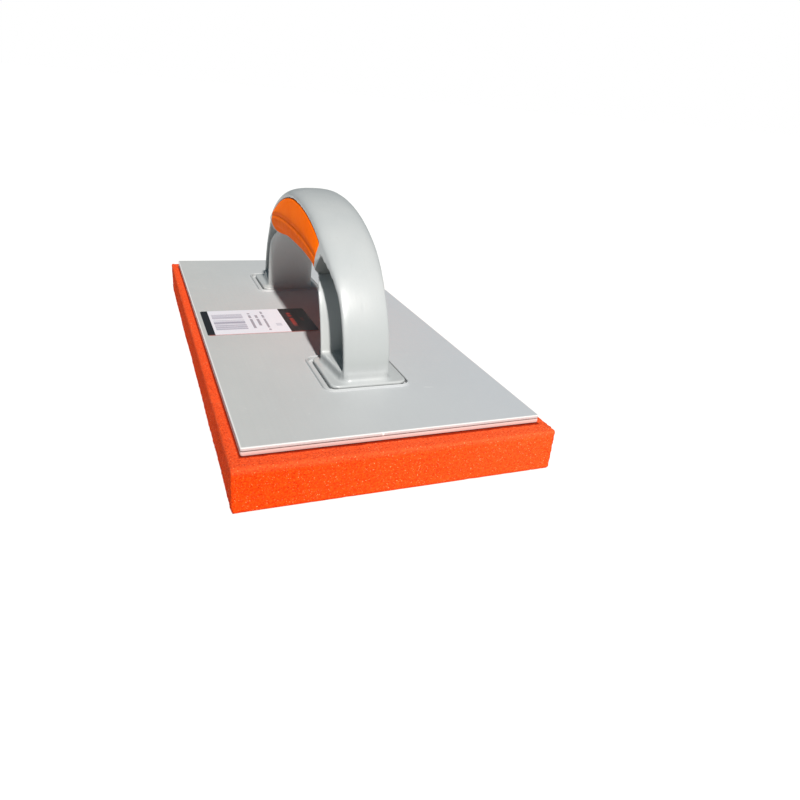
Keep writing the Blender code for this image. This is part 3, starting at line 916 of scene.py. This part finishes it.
def grip_outline(section):
    """The soft grip's closed outline: outside and hand side, then back round the rib."""
    top = grip_top(section) - SEAM
    outside = []
    for x, depth in section.side_run(top, 0.0, 48):
        crease = CREASE_DEPTH * math.exp(-(((depth - section.edge) / CREASE_WIDTH) ** 2))
        outside.append((x - crease, depth))
    outside[-1] = (0.0, 0.0)
    rib = CORE_HALF_WIDTH + RIB_GAP
    floor = GRIP_THICKNESS - RIB_GAP
    top = max(top, floor + 0.1 * MM)
    inside = line((0.0, floor), (rib, floor), 5) + line((rib, floor), (rib, top), 10)[1:]
    half = outside[::-1]
    right = half + [(x, depth) for x, depth in reversed(inside[1:])]
    left = [(-x, depth) for x, depth in reversed(right[1:])]
    return right + [(0.0, floor)] + left


def loft(shape, outlines):
    """A closed solid through rings of points, with flat ends."""
    rings = [[shape.verts.new(point) for point in outline] for outline in outlines]
    skin_rings(shape, rings)
    shape.faces.new(rings[0])
    shape.faces.new(rings[-1])


def steps_between(start, end, count):
    return [start + (end - start) * i / count for i in range(count + 1)]


def body_stations():
    """(place, kind of section) along the whole arch."""
    half = [(a, "grip") for a in steps_between(0.0, GRIP_END - SECTION_GAP, BODY_STATIONS)]
    half += [(a, "solid") for a in steps_between(GRIP_END, POCKET_END, 6)]
    pocket = steps_between(POCKET_END + SECTION_GAP, POCKET_BOTTOM, BODY_STATIONS)
    half += [(a, "pocket") for a in pocket]
    half += [(a, "solid") for a in (POCKET_BOTTOM + SECTION_GAP, 1.0)]
    return [(-a, kind) for a, kind in reversed(half[1:])] + half


def foot_profile():
    """(distance outwards, height) of the plinth, its fillet and the flange, from the top down."""
    soft = 0.4 * MM
    points = [(-2.0 * MM, PLINTH_TOP), (-soft, PLINTH_TOP), (0.0, PLINTH_TOP - soft)]
    for step in range(9):
        angle = math.pi / 2 * step / 8
        outwards = FILLET_RADIUS * (1 - math.cos(angle))
        points.append((outwards, FLANGE_TOP + FILLET_RADIUS * (1 - math.sin(angle))))
    return points


def add_foot(shape, end):
    """The tapered plinth and the flange under it, as two closed solids."""
    centre = (0.0, end * FOOT_CENTRE_Y)
    profile = [(-outwards, z) for outwards, z in foot_profile()]
    profile.append((-FILLET_RADIUS, FLANGE_BOTTOM + 0.2 * MM))
    size = (PLINTH_WIDTH, PLINTH_LENGTH)
    rings = rectangle_stack(shape, size, PLINTH_RADIUS, centre, profile, SIDE_FILLET_SHARE)
    for ring in rings:
        for vertex in ring:
            outwards = 0.5 + (end * vertex.co.y - FOOT_CENTRE_Y) / PLINTH_LENGTH
            vertex.co.x *= 1 - PLINTH_TAPER * min(max(outwards, 0.0), 1.0)
    shape.faces.new(rings[0])
    shape.faces.new(rings[-1])
    soft = 0.5 * MM
    profile = [(soft, FLANGE_TOP), (0.15 * MM, FLANGE_TOP - 0.15 * MM), (0.0, FLANGE_TOP - soft)]
    profile.append((0.0, FLANGE_BOTTOM))
    size = (FLANGE_SIZE + FLANGE_SHIFT, FLANGE_SIZE)
    centre = (FLANGE_SHIFT, centre[1])
    rings = rectangle_stack(shape, size, FLANGE_RADIUS, centre, profile)
    shape.faces.new(rings[0])
    shape.faces.new(rings[-1])


def add_boss(shape, centre):
    """A round screw boss that stands in a pocket of the post."""
    soft = 1.2 * MM
    profile = [
        (BOSS_RADIUS, FLANGE_TOP - soft),
        (BOSS_RADIUS, BOSS_TOP - soft),
        (BOSS_RADIUS - 0.35 * soft, BOSS_TOP - 0.35 * soft),
        (BOSS_RADIUS - soft, BOSS_TOP),
    ]
    rings = [new_ring(shape, circle(radius, centre), z) for radius, z in profile]
    skin_rings(shape, rings)
    shape.faces.new(rings[0])
    shape.faces.new(rings[-1])


def fuse(obj, voxel):
    """Joins the overlapping solids of a mesh in one skin with small moulded fillets."""
    remesh = obj.modifiers.new("fuse", "REMESH")
    remesh.mode = "VOXEL"
    remesh.voxel_size = voxel
    remesh.use_smooth_shade = True
    smooth = obj.modifiers.new("soften", "SMOOTH")
    smooth.factor = 0.5
    smooth.iterations = SMOOTHING
    material = obj.data.materials[0]
    baked(obj)
    obj.data.materials.clear()
    obj.data.materials.append(material)
    return obj


def make_handle(material):
    shape = bmesh.new()
    outlines = []
    for along, kind in body_stations():
        section = Section(along)
        outlines.append(section.placed(body_outline(section, kind)))
    loft(shape, outlines)
    for end in (-1, 1):
        add_foot(shape, end)
    for low, high in SCREWS:
        middle = (low + high) / 2
        add_boss(shape, (middle.x, middle.y))
    bmesh.ops.triangulate(shape, faces=shape.faces)
    obj = object_from_bmesh("handle_moulding", shape, material)
    return fuse(obj, HANDLE_VOXEL)


def make_soft_grip(material):
    shape = bmesh.new()
    outlines = []
    end = GRIP_END - 0.002
    for along in steps_between(-end, end, GRIP_STATIONS):
        section = Section(along)
        outlines.append(section.placed(grip_outline(section)))
    loft(shape, outlines)
    bmesh.ops.triangulate(shape, faces=shape.faces)
    obj = object_from_bmesh("soft_grip_moulding", shape, material)
    return fuse(obj, GRIP_VOXEL)


# Stage, light and camera


def make_floor():
    shape = bmesh.new()
    bmesh.ops.create_grid(shape, x_segments=4, y_segments=4, size=FLOOR_SIZE)
    floor = object_from_bmesh("floor", shape, floor_material())
    floor.location.z = CAD_LOW.z - FLOOR_GAP


def make_lights():
    sun = bpy.data.lights.new("key", "SUN")
    sun.energy = SUN_STRENGTH
    sun.angle = math.radians(SUN_ANGLE)
    sun.color = SUN_COLOUR
    key = bpy.data.objects.new("key", sun)
    key.rotation_euler = SUN_TRAVEL.to_track_quat("-Z", "Y").to_euler()
    bpy.context.scene.collection.objects.link(key)
    world = bpy.data.worlds.new("studio")
    bpy.context.scene.world = world
    world.use_nodes = True
    tree = world.node_tree
    sky = tree.nodes["Background"]
    sky.inputs["Color"].default_value = SKY_COLOUR
    sky.inputs["Strength"].default_value = SKY_STRENGTH
    white = {"Color": BACKDROP_COLOUR, "Strength": 1.0}
    backdrop = add(tree, "ShaderNodeBackground", white)
    seen = add(tree, "ShaderNodeLightPath").outputs["Is Camera Ray"]
    inputs = {0: seen, 1: sky.outputs[0], 2: backdrop.outputs[0]}
    both = add(tree, "ShaderNodeMixShader", inputs)
    tree.links.new(both.outputs[0], tree.nodes["World Output"].inputs["Surface"])


def make_camera():
    camera = bpy.data.cameras.new("camera")
    camera.sensor_width = 36.0
    camera.lens = CAMERA_LENS
    camera.clip_start = 0.01
    camera.clip_end = 100.0
    obj = bpy.data.objects.new("camera", camera)
    bpy.context.scene.collection.objects.link(obj)
    back = -CAMERA_FORWARD.normalized()
    right = CAMERA_RIGHT.normalized()
    up = back.cross(right)
    turn = Matrix((right, up, back)).transposed().to_4x4()
    obj.matrix_world = Matrix.Translation(CAMERA_PLACE) @ turn
    bpy.context.scene.camera = obj


def keep(piece, node):
    """Puts a piece in a CAD node's place, on the one body, and hides the node."""
    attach(piece, "root")
    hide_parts(node)
    return piece


def paint(node, material):
    """Gives a CAD node that stays a better material."""
    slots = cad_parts[node].data.materials
    slots.clear()
    slots.append(material)


def main():
    pad = keep(make_pad(sponge_material()), "sponge_pad")
    # The lower sheet's pink tone is a painted reflection of the orange sponge.
    lower = sheet_material("lower_sheet_painted_orange_bounce", (0.66, 0.47, 0.44), (0.60, 0.42, 0.39))[0]
    carrier = make_sheet(
        "lower_sheet", CARRIER_LOW, CARRIER_HIGH, CARRIER_HIGH.z, HEAD_HOLE_RADIUS, lower
    )
    keep(carrier, "carrier_sheet")
    plate = make_sheet(
        "upper_sheet", PLATE_LOW, PLATE_HIGH, PLATE_TOP, HOLE_RADIUS, plate_material(), True
    )
    keep(plate, "backing_plate")
    keep(make_label(label_material()), "product_label")
    keep(make_handle(moulding_material()), "handle_body")
    keep(make_soft_grip(soft_grip_material()), "soft_grip")
    glue = glue_material()
    paint("pad_adhesive", glue)
    paint("sheet_adhesive", glue)
    steel = steel_material()
    for number in (1, 2, 3, 4):
        paint(f"handle_screw_{number}", steel)
    make_floor()
    make_lights()
    make_camera()
    bpy.context.scene.view_settings.view_transform = "Standard"


main()
